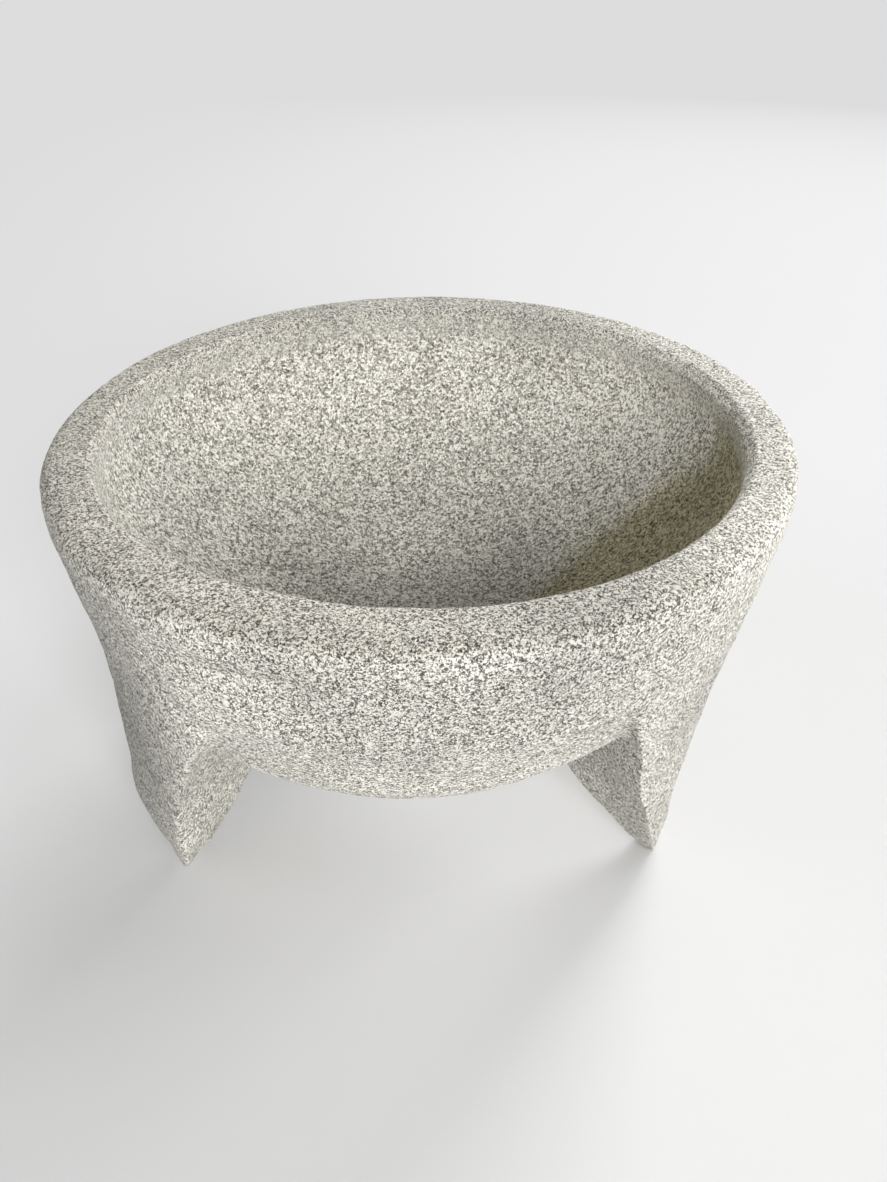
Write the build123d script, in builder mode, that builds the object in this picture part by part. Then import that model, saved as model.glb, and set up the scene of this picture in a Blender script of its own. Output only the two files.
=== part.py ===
"""Molcajete: a three-legged kitchen mortar carved from one block of basalt.

A blank is turned to one outer profile, from the rim down to the toes.  The stone
between three legs is then cut away, which bares the round belly of the bowl and
leaves each leg as a wedge: an outer face that is still the turned wall, and two
side faces that meet on an inner keel.  The cavity has a spherical floor that turns
up into a tighter flank.

The stone is one block.  It is drawn as a bowl and three legs that share their
faces, so that each can be named, weighed and collided by itself.

Millimetres.  The origin is on the ground under the bowl's axis, +Z is up and
the front is towards -Y, between two of the legs.
"""

import os

from build123d import *

# Overall size
height = 132.0  # ground to rim
rim_radius = 103.4  # outer edge of the rim, before it is rounded

# Rim and cavity
rim_width = 14.4  # flat land on top of the wall, before its edges are rounded
rim_outer_round = 2.5
rim_inner_round = 1.5
cavity_depth = 68.0
cavity_flank_round = 40.0  # where the floor turns up into the upright part

# Turned outer wall, as drops below the rim and insets from the rim's radius
shoulder_drop = 32.0  # where the belly leaves the turned wall
shoulder_inset = 4.7
ankle_drop = 92.0  # where the legs begin to turn in to the toes
ankle_inset = 10.5
toe_inset = 14.4  # at the ground

# Belly between the legs
belly_drop = 94.0  # rim to the lowest point of the bowl
belly_flank_slope = 0.45  # inward run of the straight flank for each unit down
belly_turn_round = 50.0  # where the flank turns under
belly_turn_inset = 59.4  # from the rim's radius in to the centre of that round

# Legs: half width of the outer face, and depth from there in to the keel, by height
leg_count = 3
first_leg_azimuth = 90.0  # the rear leg
toe_half_width = 5.0
toe_depth = 11.0
calf_height = 20.0
calf_half_width = 15.0
calf_depth = 31.9
knee_height = 46.0
knee_half_width = 25.0
knee_depth = 47.9
hip_half_width = 51.0  # at the shoulder
hip_depth = 74.7
keel_round = 4.0
leg_overreach = 12.0  # how far the uncut leg stands outside the turned wall
hip_overreach = 2.0  # how far the uncut leg rises past the shoulder

# Heights and radii that follow from them
shoulder_height = height - shoulder_drop
shoulder_radius = rim_radius - shoulder_inset
ankle_height = height - ankle_drop
ankle_radius = rim_radius - ankle_inset
toe_radius = rim_radius - toe_inset
cavity_radius = rim_radius - rim_width
lip_height = height - rim_inner_round
lip_radius = cavity_radius + rim_inner_round
floor_height = height - cavity_depth
belly_clearance = height - belly_drop
belly_turn_centre_radius = rim_radius - belly_turn_inset
toe_keel_radius = toe_radius - toe_depth
calf_keel_radius = ankle_radius - calf_depth
knee_keel_radius = ankle_radius - knee_depth
hip_keel_radius = shoulder_radius - hip_depth
leg_outer_reach = rim_radius + leg_overreach

os.makedirs("parts", exist_ok=True)


def sole_touch(round_centre, round_radius, lowest):
    """Where a round runs out into a sphere centred on the axis and lowest at that height.

    The sphere is larger than the round and touches it from outside.  Points are
    (radius, height) in the section.
    """
    rise = round_centre.Y - lowest
    spread = round_centre.X**2 + rise**2 - round_radius**2
    sphere_radius = spread / (2 * (rise - round_radius))
    sphere_centre = Vector(0, lowest + sphere_radius)
    return sphere_centre + (round_centre - sphere_centre).normalized() * sphere_radius


# The turned blank, solid from the rim to the ground

with BuildPart() as blank:
    with BuildSketch(Plane.XZ) as blank_section:
        with BuildLine():
            wall = ThreePointArc(
                (rim_radius, height),
                (shoulder_radius, shoulder_height),
                (ankle_radius, ankle_height),
            )
            TangentArc((ankle_radius, ankle_height), (toe_radius, 0), tangent=wall % 1)
            Polyline((toe_radius, 0), (0, 0), (0, height), (rim_radius, height))
        make_face()
        rim_corner = blank_section.vertices().group_by(Axis.Y)[-1].sort_by(Axis.X)[-1]
        fillet(rim_corner, rim_outer_round)
    revolve(axis=Axis.Z)


# The bowl's outer form: the turned wall down to the shoulder, then the belly

with BuildPart() as belly:
    with BuildSketch(Plane.XZ):
        with BuildLine():
            shoulder = Vector(shoulder_radius, shoulder_height)
            down_flank = Vector(-belly_flank_slope, -1).normalized()
            out_of_flank = Vector(1, -belly_flank_slope).normalized()
            above_turn = shoulder - out_of_flank * belly_turn_round
            flank_length = (belly_turn_centre_radius - above_turn.X) / down_flank.X
            turn_centre = above_turn + down_flank * flank_length
            touch = sole_touch(turn_centre, belly_turn_round, belly_clearance)
            flank = Line(shoulder, shoulder + down_flank * flank_length)
            turn = TangentArc(flank @ 1, touch, tangent=flank % 1)
            TangentArc(touch, (0, belly_clearance), tangent=turn % 1)
            Polyline(
                (0, belly_clearance),
                (0, shoulder_height),
                (shoulder_radius, shoulder_height),
            )
        make_face()
    revolve(axis=Axis.Z)
    with BuildSketch(Plane.XY.offset(shoulder_height)):
        Circle(leg_outer_reach)
    extrude(amount=shoulder_drop)


# Bowl: wall, belly and cavity

with BuildPart() as bowl:
    add(blank.part)
    add(belly.part, mode=Mode.INTERSECT)
    with BuildSketch(Plane.XZ):
        with BuildLine():
            flank_centre = Vector(cavity_radius - cavity_flank_round, lip_height)
            touch = sole_touch(flank_centre, cavity_flank_round, floor_height)
            lip = CenterArc((lip_radius, lip_height), rim_inner_round, 90, 90)
            flank = TangentArc(lip @ 1, touch, tangent=(0, -1))
            TangentArc(touch, (0, floor_height), tangent=flank % 1)
            Polyline((lip_radius, height), (0, height), (0, floor_height))
        make_face()
    revolve(axis=Axis.Z, mode=Mode.SUBTRACT)
bowl.part.label = "bowl"
export_step(bowl.part, "parts/bowl.step")


# Leg: a wedge that grows upwards, trimmed by the turned wall and by the belly


def leg_section(half_width, wall_radius, keel_radius):
    """Points of the wedge's section, in the leg's own frame with the leg along +X.

    Each side runs from the keel through the edge of the outer face, which lies
    half_width from the middle on a wall of wall_radius, and on past the wall.
    """
    edge_x = (wall_radius**2 - half_width**2) ** 0.5
    spread = half_width / (edge_x - keel_radius)
    outer_half_width = (leg_outer_reach - keel_radius) * spread
    return [
        (keel_radius, 0),
        (leg_outer_reach, -outer_half_width),
        (leg_outer_reach, outer_half_width),
    ]


leg_sections = [
    (0, toe_half_width, toe_radius, toe_keel_radius),
    (calf_height, calf_half_width, ankle_radius, calf_keel_radius),
    (knee_height, knee_half_width, ankle_radius, knee_keel_radius),
    (shoulder_height + hip_overreach, hip_half_width, shoulder_radius, hip_keel_radius),
]

with BuildPart() as leg:
    for level, half_width, wall_radius, keel_radius in leg_sections:
        with BuildSketch(Plane.XY.offset(level)) as section:
            Polygon(*leg_section(half_width, wall_radius, keel_radius), align=None)
            fillet(section.vertices().sort_by(Axis.X)[0], keel_round)
    loft()
    add(blank.part, mode=Mode.INTERSECT)
    add(belly.part, mode=Mode.SUBTRACT)

leg_names = ["leg_rear", "leg_front_left", "leg_front_right"]
for number, name in enumerate(leg_names):
    azimuth = first_leg_azimuth + number * 360 / leg_count
    placed = leg.part.rotate(Axis.Z, azimuth)
    placed.label = name
    export_step(placed, f"parts/{name}.step")
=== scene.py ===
"""Molcajete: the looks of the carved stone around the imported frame.

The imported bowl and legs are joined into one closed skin, as the real stone is one
block.  That skin is then worked the way the stone was: the hollow and the legs stand a
little off the regular form, creases between the belly and the legs are left full, edges
are worn, faces carry chisel planes and tooling, and the whole surface has the grains and
pores of a vesicular basalt.

Metres in Blender.  The carving works in millimetres.  Azimuths are in degrees from +X, so
the front is at 270 and the legs stand at 90, 210 and 330.
"""

import math
from typing import NamedTuple

import bmesh
import bpy
import numpy as np
from mathutils import Euler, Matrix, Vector


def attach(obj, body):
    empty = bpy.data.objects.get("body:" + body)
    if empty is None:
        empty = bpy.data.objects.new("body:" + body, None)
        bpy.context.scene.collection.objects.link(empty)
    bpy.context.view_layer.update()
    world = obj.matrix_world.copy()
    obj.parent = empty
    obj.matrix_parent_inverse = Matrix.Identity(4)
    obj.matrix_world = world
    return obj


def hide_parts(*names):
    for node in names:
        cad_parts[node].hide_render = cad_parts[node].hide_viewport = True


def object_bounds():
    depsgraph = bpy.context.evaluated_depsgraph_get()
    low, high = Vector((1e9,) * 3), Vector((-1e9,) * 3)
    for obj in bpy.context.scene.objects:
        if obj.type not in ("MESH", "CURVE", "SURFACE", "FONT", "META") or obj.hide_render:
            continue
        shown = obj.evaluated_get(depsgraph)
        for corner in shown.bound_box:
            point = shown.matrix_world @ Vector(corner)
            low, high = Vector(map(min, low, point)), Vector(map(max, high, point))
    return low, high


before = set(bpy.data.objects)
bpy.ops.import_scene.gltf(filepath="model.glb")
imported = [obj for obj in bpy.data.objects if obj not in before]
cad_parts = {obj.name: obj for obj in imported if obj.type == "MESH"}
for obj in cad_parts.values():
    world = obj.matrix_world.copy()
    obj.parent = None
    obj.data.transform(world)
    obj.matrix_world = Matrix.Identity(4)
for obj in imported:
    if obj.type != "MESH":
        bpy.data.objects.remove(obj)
cad_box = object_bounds()

MM = 0.001


# ---------------------------------------------------------------- camera

CAMERA_PLACE_MM = (0.0, -256.1, 257.9)
CAMERA_TURN_DEG = (54.138, 0.501, -1.719)
CAMERA_LENS_MM = 30.457  # on a 36 mm frame, along the taller side

camera_data = bpy.data.cameras.new("camera")
camera_data.lens = CAMERA_LENS_MM
camera_data.sensor_width = 36
camera_data.clip_start = 0.01
camera = bpy.data.objects.new("camera", camera_data)
camera.location = [MM * value for value in CAMERA_PLACE_MM]
camera.rotation_euler = Euler([math.radians(angle) for angle in CAMERA_TURN_DEG])
bpy.context.scene.collection.objects.link(camera)
bpy.context.scene.camera = camera


# ---------------------------------------------------------------- the skin

SKIN_QUAD_MM = 0.75
SKIN_SMOOTHING = 3  # rounds that take the steps out of the new skin
NORMALS_EVERY = 10  # rounds of easing after which the normals are found anew


def one_skin(quad_mm):
    """All the CAD nodes in one closed skin of even quads, as a mesh in metres."""
    solids = bmesh.new()
    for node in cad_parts.values():
        solids.from_mesh(node.data)
    joined = bpy.data.meshes.new("joined")
    solids.to_mesh(joined)
    solids.free()
    holder = bpy.data.objects.new("joined", joined)
    bpy.context.scene.collection.objects.link(holder)
    remesh = holder.modifiers.new("skin", "REMESH")
    remesh.mode = "VOXEL"
    remesh.voxel_size = quad_mm * MM
    remesh.adaptivity = 0
    evaluated = holder.evaluated_get(bpy.context.evaluated_depsgraph_get())
    skin = bpy.data.meshes.new_from_object(evaluated)
    bpy.data.objects.remove(holder)
    bpy.data.meshes.remove(joined)
    return skin


class Surface:
    """A mesh as arrays, in millimetres, with the few operations that the carving needs."""

    def __init__(self, mesh):
        self.mesh = mesh
        count = len(mesh.vertices)
        self.points = np.empty(count * 3)
        mesh.vertices.foreach_get("co", self.points)
        self.points = self.points.reshape(-1, 3) / MM
        edges = np.empty(len(mesh.edges) * 2, np.int32)
        mesh.edges.foreach_get("vertices", edges)
        edges = edges.reshape(-1, 2)
        self.ends = np.concatenate([edges[:, 0], edges[:, 1]])
        self.others = np.concatenate([edges[:, 1], edges[:, 0]])
        self.valence = np.bincount(self.ends, minlength=count)

    def around(self, values):
        """For each vertex, the mean of values over its neighbours."""
        if values.ndim == 1:
            total = np.bincount(self.ends, values[self.others], len(self.points))
            return total / self.valence
        return np.stack([self.around(column) for column in values.T], axis=1)

    def normals(self):
        self.store()
        found = np.empty(len(self.points) * 3, np.float32)
        self.mesh.vertices.foreach_get("normal", found)
        return found.reshape(-1, 3).astype(float)

    def half_step(self):
        """Half of the way from each vertex to the mean of its neighbours."""
        return (self.around(self.points) - self.points) * 0.5

    def smooth(self, rounds):
        for _ in range(rounds):
            self.points += self.half_step()

    def ease(self, rounds, mask, fills):
        """Fills creases to a soft fillet, or wears ridges down, and leaves the other alone."""
        for number in range(rounds):
            if number % NORMALS_EVERY == 0:
                normals = self.normals()
            rise = (self.half_step() * normals).sum(1)
            rise = np.maximum(rise, 0) if fills else np.minimum(rise, 0)
            self.points += normals * (rise * mask)[:, None]

    def sharpen(self, rounds, mask):
        """Takes back the rounding of a corner that a few rounds of smoothing would add."""
        before = self.points.copy()
        self.smooth(rounds)
        self.points = before + (before - self.points) * mask[:, None]

    def push(self, distance):
        """Moves each vertex along its normal by its distance in millimetres."""
        self.points += self.normals() * distance[:, None]

    def store(self):
        self.mesh.vertices.foreach_set("co", (self.points * MM).ravel().astype(np.float32))
        self.mesh.update()


# ---------------------------------------------------------------- noise

SLOPE_COUNT = 256
NOISE_GAIN = 1.6  # brings the noise to about -1 to 1

PORE_COUNT = 1024
PORE_RADIUS_LEAST = 0.16  # radii as shares of the spacing
PORE_RADIUS_SPREAD = 0.34
PORE_SKEW = 2.2  # the higher this is, the fewer pores are large
NO_PORE = 1e-6


def hashed(order, cell):
    """A number for each cell of space, from a shuffled list whose length is a power of 2."""
    last = len(order) - 1
    x, y, z = (cell & last).T
    return order[(order[(order[x] + y) & last] + z) & last]


def gradient_noise(points, seed):
    """Smooth noise of about -1 to 1 that changes over one unit, the same on every run."""
    rng = np.random.default_rng(seed)
    order = rng.permutation(SLOPE_COUNT)
    slopes = rng.normal(size=(SLOPE_COUNT, 3))
    slopes /= np.linalg.norm(slopes, axis=1, keepdims=True)
    cell = np.floor(points).astype(np.int64)
    part = points - cell
    fade = part**3 * (part * (part * 6 - 15) + 10)
    total = np.zeros(len(points))
    for corner in np.ndindex(2, 2, 2):
        slope = slopes[hashed(order, cell + corner)]
        weight = np.where(corner, fade, 1 - fade).prod(axis=1)
        total += weight * ((part - corner) * slope).sum(axis=1)
    return total * NOISE_GAIN


def layered_noise(points, size, seed, layers=2, gain=0.5):
    """Noise whose largest forms are size millimetres across."""
    total = np.zeros(len(points))
    for layer in range(layers):
        total += gain**layer * gradient_noise(points * 2**layer / size, seed + layer)
    return total


def pores(points, spacing, share, seed):
    """Depth from 0 to 1 of round pores scattered about spacing millimetres apart."""
    rng = np.random.default_rng(seed)
    order = rng.permutation(PORE_COUNT)
    middle = rng.random((PORE_COUNT, 3))
    size = PORE_RADIUS_LEAST + PORE_RADIUS_SPREAD * rng.random(PORE_COUNT) ** PORE_SKEW
    size[rng.random(PORE_COUNT) > share] = NO_PORE
    scaled = points / spacing
    cell = np.floor(scaled).astype(np.int64)
    depth = np.zeros(len(points))
    for step in np.ndindex(3, 3, 3):
        next_cell = cell + step - 1
        pick = hashed(order, next_cell)
        gap = np.linalg.norm(scaled - next_cell - middle[pick], axis=1)
        hole = np.clip(1 - (gap / size[pick]) ** 2, 0, 1)
        depth = np.maximum(depth, np.sqrt(hole) * size[pick] / 0.5)
    return depth


def ramp(values, low, high):
    """0 below low, 1 above high, and smooth between."""
    share = np.clip((values - low) / (high - low), 0, 1)
    return share * share * (3 - 2 * share)


# ---------------------------------------------------------------- carving

RIM_HEIGHT = cad_box[1][2] / MM
RIM_RADIUS = cad_box[1][0] / MM
RIM_WIDTH = 14.4
HOLLOW_RADIUS = RIM_RADIUS - RIM_WIDTH

# Heights and radii over which one part of the stone gives way to the next.
HOLLOW_EDGE = (HOLLOW_RADIUS - 1, HOLLOW_RADIUS + 1)
HOLLOW_FROM = (60, 62)
HOLLOW_FACING = (0.2, 0.5)  # up and towards the axis, by the normal
RIM_FROM = (RIM_HEIGHT - 3, RIM_HEIGHT - 1)
RIM_SHIFT_EDGE = (HOLLOW_RADIUS, RIM_RADIUS - 3)
WALL_FROM = (RIM_HEIGHT - 35, RIM_HEIGHT - 20)
RIM_CORNER_RADII = (RIM_RADIUS - 7, RIM_RADIUS - 4)
RIM_CORNER_HEIGHTS = (RIM_HEIGHT - 9, RIM_HEIGHT - 5)
LIP_FROM = (RIM_HEIGHT - 5, RIM_HEIGHT - 3)
LIP_REACH = (2, 5)

# The hollow was turned a little off the rim's centre and out of round.
HOLLOW_SHIFT = (0.8, 0.5)
HOLLOW_STRETCH = (1.012, 0.991)

# Its edge stands in at the front left, around this azimuth and from this height up.
LIP_INSET = 1.6
LIP_INSET_AZIMUTH = 249
LIP_INSET_HALF_WIDTH = 26
LIP_INSET_FROM = (95, 128)

# The legs were cut a little to the left of the rim's centre: sideways shift by height.
LEAN_HEIGHTS = (0, 12, 30, 60, 80, 100, 122)
LEAN_SHIFTS = (-2.6, -3.8, -5.0, -4.2, -2.6, -1.1, 0)

# Where the carver's hand left the regular form.  Each drag has a place (azimuth, radius,
# height), a move (outward, sideways to the left seen from outside, up) and a reach.
DRAGS = (
    # front left leg: outer face hewn flatter, front ridge fuller, toe cut to a point
    ((205, 97, 78), (-2.0, 0.0, 0.0), 44),
    ((228, 94, 50), (0.9, 0.6, 0.0), 26),
    ((220, 91, 26), (0.6, 6.0, 0.0), 26),
    ((200, 90, 18), (2.4, -1.5, 0.0), 22),
    ((212, 88, 0), (-0.5, -4.5, 0.0), 13),
    ((210, 62, 22), (-0.9, 0.0, 0.0), 22),
    # front right leg: long front ridge, fuller keel, toe set back
    ((340, 90, 16), (-1.4, 0.0, 0.0), 26),
    ((330, 61, 24), (-4.2, 0.0, 0.0), 26),
    ((312, 93, 54), (0.4, -2.8, 0.0), 22),
    ((330, 88, 0), (-2.0, 2.0, 0.0), 13),
    # rear leg
    ((96, 90, 20), (0.6, 1.4, 0.0), 20),
    ((88, 88, 0), (-1.0, 0.0, 0.0), 12),
    # belly flatter on its left side
    ((254, 59, 42), (0.0, 0.0, 3.0), 34),
    # flats on the rim's right edge
    ((4, 103, 131), (-0.9, 0.0, 0.0), 13),
    ((17, 103, 131), (-0.7, 0.0, 0.0), 11),
)

RIGHT = 0  # azimuths as the camera sees them
FRONT = 270

# Rounds of filling and wear.  The front right leg's creases stay crisper than the others,
# and the rim's outer edge is most worn towards one side.
CREASE_ROUNDS = 60
CRISP_SHARE = 0.85
CRISP_TO_THE_RIGHT = (25, 45)
CRISP_TO_THE_FRONT = (-10, 10)
RIM_WEAR_ROUNDS = 70
RIM_WEAR_LEAST = 0.2
RIM_WEAR_MORE = 0.8
WORN_AZIMUTH = 245
WORN_SIDE = (-40, 80)
RIDGE_WEAR_ROUNDS = 5
LIP_SHARPEN_ROUNDS = 4

# Long shallow marks of the chisel on the wall: path (azimuth, height), rise and width.
STROKES = (
    (((228, 124), (240, 124), (252, 123)), 0.35, 3.0),
    (((233, 118), (244, 118), (254, 119)), -0.7, 3.5),
    (((234, 109), (242, 107), (251, 105)), 0.5, 5.0),
    (((229, 107), (233, 100), (238, 92)), -0.6, 5.0),
)


class Relief(NamedTuple):
    """Relief all over the stone: its size across, its seed, and its height by place."""

    size: float
    seed: int
    least: float
    more_outside: float
    more_on_rim: float = 0.0


PLANES = Relief(42, 11, 0.25, 0.55)
TOOLING = Relief(11, 21, 0.10, 0.22)
GRAIN = Relief(2.6, 31, 0.06, 0.05, 0.04)
GRAIN_GAIN = 0.6
PORES = Relief(4.0, 41, 0.25, 0.25, 0.15)
PORE_SHARE = 0.3


def polar(azimuth, distance):
    return np.array([math.cos(math.radians(azimuth)), math.sin(math.radians(azimuth))]) * distance


def point_at(place):
    azimuth, distance, level = place
    return np.append(polar(azimuth, distance), level)


def towards(azimuth):
    """How far each vertex of the regular form lies from the axis towards an azimuth."""
    return regular_points[:, :2] @ polar(azimuth, 1)


def relief_height(relief):
    return relief.least + relief.more_outside * outside + relief.more_on_rim * rim


def drag(points, place, move, reach):
    """Moves the surface near a place, fading to nothing at the reach."""
    away = np.linalg.norm(points - point_at(place), axis=1)
    share = np.clip(1 - (away / reach) ** 2, 0, 1) ** 2
    azimuth = place[0]
    along, sideways, up = move
    step = np.append(polar(azimuth, along) + polar(azimuth + 90, sideways), up)
    points += share[:, None] * step


def stroke(points, path, width):
    """1 along a path on the wall and 0 further than its width away."""
    azimuth = np.degrees(np.arctan2(points[:, 1], points[:, 0])) % 360
    unrolled = np.stack([np.radians(azimuth) * RIM_RADIUS, points[:, 2]], axis=1)
    stops = np.array([(math.radians(turn) * RIM_RADIUS, level) for turn, level in path])
    gap = np.full(len(points), np.inf)
    for start, end in zip(stops[:-1], stops[1:]):
        length = end - start
        along = np.clip((unrolled - start) @ length / (length @ length), 0, 1)
        away = np.linalg.norm(unrolled - start - along[:, None] * length, axis=1)
        gap = np.minimum(gap, away)
    return 1 - ramp(gap, 0, width)


surface = Surface(one_skin(SKIN_QUAD_MM))
surface.smooth(SKIN_SMOOTHING)

# Shares from 0 to 1 of the stone's parts, by where the vertices are on the regular form
regular_points = surface.points.copy()
height = regular_points[:, 2]
radius = np.hypot(regular_points[:, 0], regular_points[:, 1])
turned = np.degrees(np.arctan2(regular_points[:, 1], regular_points[:, 0])) % 360
normals = surface.normals()
outward = (normals[:, :2] * regular_points[:, :2]).sum(1) / np.maximum(radius, 1e-6)

inside = (1 - ramp(radius, *HOLLOW_EDGE)) * ramp(height, *HOLLOW_FROM)
inside *= ramp(normals[:, 2] - outward, *HOLLOW_FACING)
rim = ramp(height, *RIM_FROM) * (1 - inside)
outside = np.clip(1 - inside - rim, 0, 1)
below_wall = 1 - ramp(height, *WALL_FROM)
crisp_side = ramp(towards(RIGHT), *CRISP_TO_THE_RIGHT)
crisp_side *= ramp(towards(FRONT), *CRISP_TO_THE_FRONT)
hollowed = np.maximum(inside, rim * (1 - ramp(radius, *RIM_SHIFT_EDGE)))
rim_corner = ramp(radius, *RIM_CORNER_RADII) * ramp(height, *RIM_CORNER_HEIGHTS)
worn_side = ramp(towards(WORN_AZIMUTH), *WORN_SIDE)
lip = ramp(height, *LIP_FROM) * (1 - ramp(np.abs(radius - HOLLOW_RADIUS), *LIP_REACH))

# Off the regular form
for axis in (0, 1):
    change = surface.points[:, axis] * (HOLLOW_STRETCH[axis] - 1) + HOLLOW_SHIFT[axis]
    surface.points[:, axis] += change * hollowed
inset = LIP_INSET * np.exp(-(((turned - LIP_INSET_AZIMUTH) / LIP_INSET_HALF_WIDTH) ** 2))
inset *= hollowed * ramp(height, *LIP_INSET_FROM)
surface.points[:, :2] *= (1 - inset / np.maximum(radius, 1))[:, None]
for place, move, reach in DRAGS:
    drag(surface.points, place, move, reach)
surface.points[:, 0] += np.interp(height, LEAN_HEIGHTS, LEAN_SHIFTS) * (1 - inside)

# Full creases, worn edges and a crisp lip
surface.ease(CREASE_ROUNDS, outside * below_wall * (1 - CRISP_SHARE * crisp_side), fills=True)
rim_wear = rim_corner * (RIM_WEAR_LEAST + RIM_WEAR_MORE * worn_side)
surface.ease(RIM_WEAR_ROUNDS, rim_wear, fills=False)
surface.ease(RIDGE_WEAR_ROUNDS, outside * below_wall, fills=False)
surface.sharpen(LIP_SHARPEN_ROUNDS, lip)

# Marks of the chisel, planes, tooling, grain and pores
marks = sum(rise * stroke(surface.points, path, width) for path, rise, width in STROKES)
surface.push(marks * outside)
planes = layered_noise(surface.points, PLANES.size, PLANES.seed)
tooling = layered_noise(surface.points, TOOLING.size, TOOLING.seed)
grain = layered_noise(surface.points, GRAIN.size, GRAIN.seed, gain=GRAIN_GAIN)
surface.push(planes * relief_height(PLANES) + tooling * relief_height(TOOLING))
surface.push(grain * relief_height(GRAIN))
holes = pores(surface.points, PORES.size, PORE_SHARE, PORES.seed)
surface.push(-holes * relief_height(PORES))
surface.store()


# ---------------------------------------------------------------- map for baking

# The skin laid out flat on a square sheet, in mm, for a baked copy of its colours: the
# hollow and the belly as discs, the wall as three strips, and both sides of each leg.
SHEET_MM = 580
HOLLOW_SPOT = (142, 142)
BELLY_SPOT = (118, 408)
STRIP_SPOTS = ((394, 4), (394, 144), (394, 284))
LEG_SIDE_SPOTS = ((478, 2), (478, 107), (478, 212), (478, 317), (478, 422), (225, 424))
LEG_AZIMUTHS = (90, 210, 330)

# How far out each part is laid for its radius or turn, and for its height.
HOLLOW_FLOOR = 64
HOLLOW_RISE = 0.5
BELLY_SOLE = 38
BELLY_REACH = 0.85
BELLY_RISE = 0.45
STRIP_REACH = 0.97

# Which faces go where, by their places and the directions in which they face.
THIRD_OF_TURN = 0.5  # the cosine of 60 degrees, either way from a leg
LEG_TOP = 100
SIDEWAYS = 0.5
INWARD = -0.3
WALL_OUTWARD = 0.7
WALL_INNER_RADIUS = RIM_RADIUS - 18
WALL_FACING_UP = 0.7
RIM_FACING_UP = 0.5
RIM_BOTTOM = 120


def lay_out(mesh, points, normals, hollow_share):
    """Gives the mesh its map, from where its vertices were on the regular form."""
    corners = np.empty(len(mesh.loops), np.int32)
    mesh.loops.foreach_get("vertex_index", corners)
    corners = corners.reshape(-1, 4)
    middle = points[corners].mean(axis=1)
    facing = normals[corners].mean(axis=1)
    azimuth = np.arctan2(middle[:, 1], middle[:, 0])
    distance = np.hypot(middle[:, 0], middle[:, 1])
    outward = (facing[:, :2] * middle[:, :2]).sum(1) / np.maximum(distance, 1e-6)
    placed = points[corners]
    level = placed[..., 2]
    reach = np.hypot(placed[..., 0], placed[..., 1])
    turn = np.arctan2(placed[..., 1], placed[..., 0])

    def laid(spot, across, up):
        return np.stack([spot[0] + across, spot[1] + up], axis=-1)

    def disc(spot, stretched):
        return laid(spot, stretched * np.cos(turn), stretched * np.sin(turn))

    sheet = disc(BELLY_SPOT, reach * BELLY_REACH + (level - BELLY_SOLE) * BELLY_RISE)
    for number, leg in enumerate(np.radians(LEG_AZIMUTHS)):
        along = np.array([math.cos(leg), math.sin(leg)])
        across = np.array([-math.sin(leg), math.cos(leg)])
        sideways = facing[:, :2] @ across
        leg_face = (np.cos(azimuth - leg) > THIRD_OF_TURN) & (middle[:, 2] < LEG_TOP)
        leg_face &= (np.abs(sideways) > SIDEWAYS) | (outward < INWARD)
        for side in (0, 1):
            picked = leg_face & ((sideways > 0) == (side == 0))
            face = laid(LEG_SIDE_SPOTS[2 * number + side], placed[..., :2] @ along, level)
            sheet[picked] = face[picked]
    wall = (outward > WALL_OUTWARD) & (distance > WALL_INNER_RADIUS)
    wall &= facing[:, 2] < WALL_FACING_UP
    for leg, spot in zip(np.radians(LEG_AZIMUTHS), STRIP_SPOTS):
        picked = wall & (np.cos(azimuth - leg) >= THIRD_OF_TURN)
        swing = (turn - leg + np.pi) % (2 * np.pi) - np.pi
        strip = laid(spot, swing * RIM_RADIUS * STRIP_REACH, level)
        sheet[picked] = strip[picked]
    hollow = hollow_share[corners].mean(axis=1) > 0.5
    hollow |= (facing[:, 2] > RIM_FACING_UP) & (middle[:, 2] > RIM_BOTTOM)
    flat = disc(HOLLOW_SPOT, reach + HOLLOW_RISE * (level - HOLLOW_FLOOR))
    sheet[hollow] = flat[hollow]
    layer = mesh.uv_layers.new(name="OFBake")
    layer.uv.foreach_set("vector", (sheet / SHEET_MM).ravel().astype(np.float32))


lay_out(surface.mesh, regular_points, normals, inside)

stone = bpy.data.objects.new("stone", surface.mesh)
surface.mesh.name = "stone"
bpy.context.scene.collection.objects.link(stone)
surface.mesh.polygons.foreach_set("use_smooth", np.ones(len(surface.mesh.polygons), bool))
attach(stone, "root")
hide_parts("bowl", "leg_front_left", "leg_front_right", "leg_rear")


# ---------------------------------------------------------------- material

# Grey basalt in linear colour, from the dark glass between the crystals to the crystals.
DARK = (0.070, 0.063, 0.052)
STONE = (0.28, 0.269, 0.235)
PALE = (0.62, 0.600, 0.532)
CRYSTAL = (1.0, 0.975, 0.895)
GRAIN_COLOURS = (DARK, STONE, PALE, CRYSTAL)

# Where those colours stand on the scale of grains, on the wall and in the worn hollow.
WALL_LEVELS = (0.27, 0.39, 0.52, 0.62)
HOLLOW_LEVELS = (0.10, 0.32, 0.54, 0.76)

# Size of the coarse grains, and the share of it that the fine grains have.
WALL_GRAIN_MM = 0.44
HOLLOW_GRAIN_MM = 0.70
FINE_SHARE = 0.58
COARSE_WEIGHT = 0.55
FINE_WEIGHT = 0.45
RAGGED_SIZE_MM = 0.6
RAGGED_BEND_MM = 0.8
BUMP_MM = 0.4
ROUGHNESS = 0.9

# A few cells hold a larger crystal, which fades out from its middle.
LARGE_CRYSTAL_MM = 5.5
LARGE_CRYSTAL_FADE = ((0.12, 0.8), (0.20, 0.0))
LARGE_CRYSTAL_CHOICE = ((0.86, 0.0), (0.88, 1.0))

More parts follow.
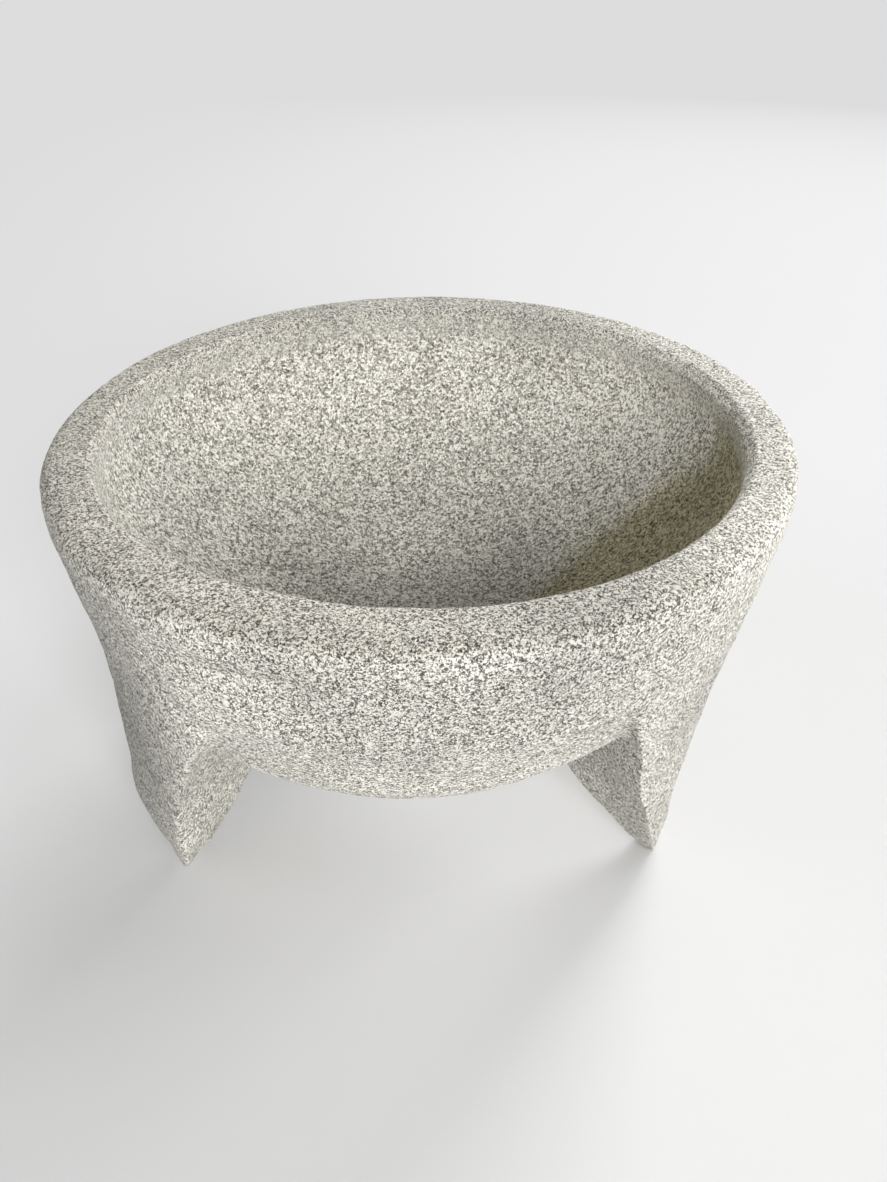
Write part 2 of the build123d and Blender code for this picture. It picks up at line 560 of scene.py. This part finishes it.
CLOUD_MM = 22
CLOUD_DETAIL = 3.0
CLOUD_COLOURS = ((0.3, (0.90, 0.90, 0.89)), (0.7, (1.0, 1.0, 1.0)))

# Painted shade with a painted olive reflection in the right of the hollow, around a spot (x, y),
# with a ragged edge.
PAINTED_OLIVE_SHADE = (0.60, 0.57, 0.41)
PAINTED_SHADE_SPOT = (66, -22)
PAINTED_SHADE_EDGE = (30, 50)
PAINTED_SHADE_RAGGED = 5
PAINTED_SHADE_RAGGED_SIZE = 18
PAINTED_SHADE_SEED = 51

# The rim is darker all round, and most of all towards one side.
RIM_DARKENING = (0.86, 0.85, 0.83)
RIM_DARKENING_LEAST = 0.5
RIM_DARKENING_MORE = 0.5
RIM_DARKENING_AZIMUTH = 200
RIM_DARKENING_SIDE = (-20, 60)

# Soft patches of paler or darker stone, partly real tone and partly painted light and painted
# shade: place (azimuth, radius, height), reach, change.
TONE_AND_PAINTED_LIGHT_PATCHES = (
    # wall and legs: painted shade on the left side and below the rim's front edge, painted light
    # on the front left leg's side face and on the belly, and some real tone
    ((200, 98, 70), 45, -0.30),
    ((205, 102, 115), 25, -0.20),
    ((202, 92, 22), 26, -0.20),
    ((226, 80, 25), 18, 0.38),
    ((248, 82, 56), 34, 0.30),
    ((285, 90, 55), 44, 0.10),
    ((303, 88, 57), 26, 0.18),
    ((266, 102, 111), 30, -0.22),
    ((245, 99, 102), 24, 0.20),
    ((211, 94, 55), 32, -0.12),
    ((219, 96, 70), 22, -0.16),
    ((221, 101, 110), 24, -0.14),
    ((253, 102, 122), 16, -0.20),
    ((287, 102, 121), 16, -0.14),
    ((324, 95, 74), 28, -0.16),
    ((285, 103, 130), 20, -0.06),
    ((293, 102, 122), 24, -0.14),
    ((336, 101, 106), 26, 0.20),
    # rim: painted light along its inner edge, most on the right and front, and darker at the back
    ((66, 99, 134), 16, -0.14),
    ((88, 99, 134), 16, -0.14),
    ((110, 99, 134), 16, -0.14),
    ((322, 92, 132), 12, 0.20),
    ((276, 92, 132), 18, 0.14),
    ((214, 96, 132), 16, 0.16),
    ((324, 96, 132), 20, 0.20),
    ((258, 90, 132), 20, 0.22),
    ((338, 94, 132), 26, 0.26),
    ((5, 96, 133), 20, 0.18),
    # hollow: painted light on its right wall, painted shade on its floor behind the front lip,
    # and some real tone
    ((25, 84, 114), 30, 0.42),
    ((0, 86, 118), 15, -0.22),
    ((169, 86, 116), 22, -0.15),
    ((300, 8, 64), 30, -0.34),
    ((20, 30, 68), 20, -0.20),
    ((98, 31, 68), 16, 0.16),
    ((160, 36, 70), 14, -0.14),
)

# Numbers of the Mix node's sockets for colours.
MIX_FIRST = 6
MIX_SECOND = 7
MIX_RESULT = 2


class Nodes:
    """The node tree of a material or a world, with short ways to add and join nodes."""

    def __init__(self, owner):
        owner.use_nodes = True
        self.tree = owner.node_tree
        self.tree.nodes.clear()

    def add(self, kind, inputs=None, **settings):
        node = self.tree.nodes.new(kind)
        for key, value in settings.items():
            setattr(node, key, value)
        for key, value in (inputs or {}).items():
            if isinstance(value, bpy.types.NodeSocket):
                self.tree.links.new(value, node.inputs[key])
            else:
                node.inputs[key].default_value = value
        return node

    def ramp(self, value, *stops):
        """Colours, or greys where a stop has one number, by a value from 0 to 1."""
        node = self.add("ShaderNodeValToRGB", {"Fac": value})
        while len(node.color_ramp.elements) < len(stops):
            node.color_ramp.elements.new(0.5)
        for element, (place, colour) in zip(node.color_ramp.elements, stops):
            element.position = place
            element.color = (*colour, 1) if isinstance(colour, tuple) else (*[colour] * 3, 1)
        return node.outputs["Color"]

    def math(self, operation, first, second):
        return self.add("ShaderNodeMath", {0: first, 1: second}, operation=operation).outputs[0]

    def vector(self, operation, inputs):
        return self.add("ShaderNodeVectorMath", inputs, operation=operation).outputs[0]

    def mix(self, share, first, second, blend="MIX"):
        inputs = {0: share}
        for socket, value in ((MIX_FIRST, first), (MIX_SECOND, second)):
            inputs[socket] = (*value, 1) if isinstance(value, tuple) else value
        node = self.add("ShaderNodeMix", inputs, data_type="RGBA", blend_type=blend)
        return node.outputs[MIX_RESULT]

    def noise(self, place, size_mm, detail=2.0):
        inputs = {"Vector": place, "Scale": 1 / (size_mm * MM), "Detail": detail}
        return self.add("ShaderNodeTexNoise", inputs)

    def cells(self, place, size_mm):
        return self.add("ShaderNodeTexVoronoi", {"Vector": place, "Scale": 1 / (size_mm * MM)})

    def channel(self, colour, number):
        return self.add("ShaderNodeSeparateColor", {"Color": colour}).outputs[number]

    def stored(self, name):
        """A share that store_share has kept at the vertices."""
        return self.add("ShaderNodeAttribute", attribute_name=name).outputs["Fac"]


def grains(nodes, place, size_mm):
    """How light the stone is, 0 to 1: a mosaic of grains with a finer one inside it."""
    coarse = nodes.channel(nodes.cells(place, size_mm).outputs["Color"], 0)
    fine = nodes.channel(nodes.cells(place, size_mm * FINE_SHARE).outputs["Color"], 1)
    coarse = nodes.math("MULTIPLY", coarse, COARSE_WEIGHT)
    return nodes.math("ADD", coarse, nodes.math("MULTIPLY", fine, FINE_WEIGHT))


def basalt():
    material = bpy.data.materials.new("basalt")
    nodes = Nodes(material)
    place = nodes.add("ShaderNodeTexCoord").outputs["Object"]
    hollow = nodes.stored("hollow")

    # space is bent a little, so that the grains have ragged outlines
    bend = nodes.noise(place, RAGGED_SIZE_MM).outputs["Color"]
    bend = nodes.vector("SUBTRACT", {0: bend, 1: (0.5, 0.5, 0.5)})
    bend = nodes.vector("SCALE", {0: bend, "Scale": RAGGED_BEND_MM * MM})
    bent = nodes.vector("ADD", {0: place, 1: bend})
    wall_level = grains(nodes, bent, WALL_GRAIN_MM)
    hollow_level = grains(nodes, bent, HOLLOW_GRAIN_MM)
    wall = nodes.ramp(wall_level, *zip(WALL_LEVELS, GRAIN_COLOURS))
    worn = nodes.ramp(hollow_level, *zip(HOLLOW_LEVELS, GRAIN_COLOURS))
    colour = nodes.mix(hollow, wall, worn)

    large = nodes.cells(bent, LARGE_CRYSTAL_MM)
    crystal = nodes.ramp(large.outputs["Distance"], *LARGE_CRYSTAL_FADE)
    chosen = nodes.ramp(nodes.channel(large.outputs["Color"], 0), *LARGE_CRYSTAL_CHOICE)
    colour = nodes.mix(nodes.math("MULTIPLY", crystal, chosen), colour, CRYSTAL)

    # painted olive shade in the right of the hollow, and the rim darker towards one side
    for name, tint in (("painted_olive_shade", PAINTED_OLIVE_SHADE), ("rim", RIM_DARKENING)):
        tint = nodes.mix(nodes.stored(name), (1, 1, 1), tint)
        colour = nodes.mix(1, colour, tint, "MULTIPLY")
    clouds = nodes.noise(place, CLOUD_MM, CLOUD_DETAIL).outputs["Fac"]
    colour = nodes.mix(1, colour, nodes.ramp(clouds, *CLOUD_COLOURS), "MULTIPLY")
    # painted light and painted shade of the patches, with some real tone
    colour = nodes.mix(1, colour, nodes.stored("tone_and_painted_light"), "MULTIPLY")
    colour = nodes.vector("MINIMUM", {0: colour, 1: CRYSTAL})

    level = nodes.mix(hollow, wall_level, hollow_level)
    bump = {"Height": level, "Strength": 1.0, "Distance": BUMP_MM * MM}
    normal = nodes.add("ShaderNodeBump", bump).outputs["Normal"]
    shader = nodes.add(
        "ShaderNodeBsdfPrincipled",
        {"Base Color": colour, "Roughness": ROUGHNESS, "Normal": normal},
    )
    nodes.add("ShaderNodeOutputMaterial", {"Surface": shader.outputs["BSDF"]})
    return material


def store_share(name, share):
    """Keeps a share at each vertex, for the material to read."""
    layer = surface.mesh.attributes.new(name, "FLOAT", "POINT")
    layer.data.foreach_set("value", share.astype(np.float32))


def near(place, reach):
    """A share that is 1 at a place and fades out past its reach."""
    away = np.linalg.norm(regular_points - point_at(place), axis=1)
    return np.exp(-((away / reach) ** 2))


store_share("hollow", inside)
# the rim darker all round, and most towards one side
rim_darkening = RIM_DARKENING_LEAST + RIM_DARKENING_MORE * ramp(towards(RIM_DARKENING_AZIMUTH), *RIM_DARKENING_SIDE)
store_share("rim", rim * rim_darkening)
# painted olive shade with a ragged edge, in the right of the hollow
gap = np.linalg.norm(regular_points[:, :2] - PAINTED_SHADE_SPOT, axis=1)
gap += PAINTED_SHADE_RAGGED * layered_noise(regular_points, PAINTED_SHADE_RAGGED_SIZE, PAINTED_SHADE_SEED, layers=3)
store_share("painted_olive_shade", inside * (1 - ramp(gap, *PAINTED_SHADE_EDGE)))
# painted light, painted shade and some real tone from the patches, kept at the vertices
tone_and_painted_light = np.ones(len(regular_points))
for place, reach, change in TONE_AND_PAINTED_LIGHT_PATCHES:
    tone_and_painted_light *= 1 + change * near(place, reach)
store_share("tone_and_painted_light", tone_and_painted_light)
surface.mesh.materials.clear()
surface.mesh.materials.append(basalt())


# ---------------------------------------------------------------- floor and light

FLOOR_COLOUR = (0.70, 0.70, 0.70)
FLOOR_HALF = 4.0
BACKDROP_COLOUR = (0.72, 0.72, 0.725)
BACKDROP_FULL = 1.3  # metres from the object at which the floor has become the backdrop
BACKDROP_START = 0.25  # the share of that at which it begins
AMBIENT = 0.30

LIGHT_DISTANCE = 2.6
LIGHT_SIZE = 1.2
LIGHT_AIM_HEIGHT = 0.06
LIGHTS = (  # name, azimuth, elevation and watts
    ("key", 287, 25, 61),
    ("front right", 324, 8, 12),
    ("back right", 57, 20, 66),
    ("above", 0, 60, 11),
    ("left", 185, 20, 8),
)


def backdrop_rays(nodes):
    """1 for the camera's rays, and for those that metal or glass would show."""
    path = nodes.add("ShaderNodeLightPath").outputs
    seen = nodes.math("MAXIMUM", path["Is Camera Ray"], path["Is Glossy Ray"])
    return nodes.math("MAXIMUM", seen, path["Is Transmission Ray"])


def floor_material():
    """Pale and matt near the object; further off the camera sees the plain backdrop's colour."""
    material = bpy.data.materials.new("floor")
    nodes = Nodes(material)
    shader = nodes.add(
        "ShaderNodeBsdfPrincipled",
        {"Base Color": (*FLOOR_COLOUR, 1), "Roughness": 1.0, "Specular IOR Level": 0.0},
    )
    plain = nodes.add("ShaderNodeEmission", {"Color": (*BACKDROP_COLOUR, 1), "Strength": 1.0})
    place = nodes.add("ShaderNodeTexCoord").outputs["Object"]
    away = nodes.add("ShaderNodeVectorMath", {0: place}, operation="LENGTH").outputs["Value"]
    away = nodes.math("DIVIDE", away, BACKDROP_FULL)
    far = nodes.ramp(away, (BACKDROP_START, 0.0), (1.0, 1.0))
    share = nodes.math("MULTIPLY", far, backdrop_rays(nodes))
    both = {0: share, 1: shader.outputs["BSDF"], 2: plain.outputs[0]}
    both = nodes.add("ShaderNodeMixShader", both).outputs[0]
    nodes.add("ShaderNodeOutputMaterial", {"Surface": both})
    return material


def area_light(name, azimuth, elevation, power):
    """A square soft light that faces the object from a direction in degrees."""
    data = bpy.data.lights.new(name, "AREA")
    data.size = LIGHT_SIZE
    data.energy = power
    lamp = bpy.data.objects.new(name, data)
    level = math.radians(elevation)
    across = polar(azimuth, LIGHT_DISTANCE * math.cos(level))
    direction = Vector((*across, LIGHT_DISTANCE * math.sin(level)))
    lamp.location = direction + Vector((0, 0, LIGHT_AIM_HEIGHT))
    lamp.rotation_euler = (-direction).to_track_quat("-Z", "Y").to_euler()
    bpy.context.scene.collection.objects.link(lamp)


floor_mesh = bpy.data.meshes.new("floor")
floor_signs = ((-1, -1), (1, -1), (1, 1), (-1, 1))
floor_corners = [(FLOOR_HALF * x, FLOOR_HALF * y, 0) for x, y in floor_signs]
floor_mesh.from_pydata(floor_corners, [], [(0, 1, 2, 3)])
floor_mesh.materials.append(floor_material())
floor = bpy.data.objects.new("floor", floor_mesh)
bpy.context.scene.collection.objects.link(floor)

for name, azimuth, elevation, power in LIGHTS:
    area_light(name, azimuth, elevation, power)

world = bpy.data.worlds.new("world")
nodes = Nodes(world)
ambient = nodes.add("ShaderNodeBackground", {"Color": (1, 1, 1, 1), "Strength": AMBIENT})
plain = nodes.add("ShaderNodeBackground", {"Color": (*BACKDROP_COLOUR, 1), "Strength": 1.0})
both = {0: backdrop_rays(nodes), 1: ambient.outputs[0], 2: plain.outputs[0]}
both = nodes.add("ShaderNodeMixShader", both).outputs[0]
nodes.add("ShaderNodeOutputWorld", {"Surface": both})
bpy.context.scene.world = world
bpy.context.scene.view_settings.view_transform = "Standard"
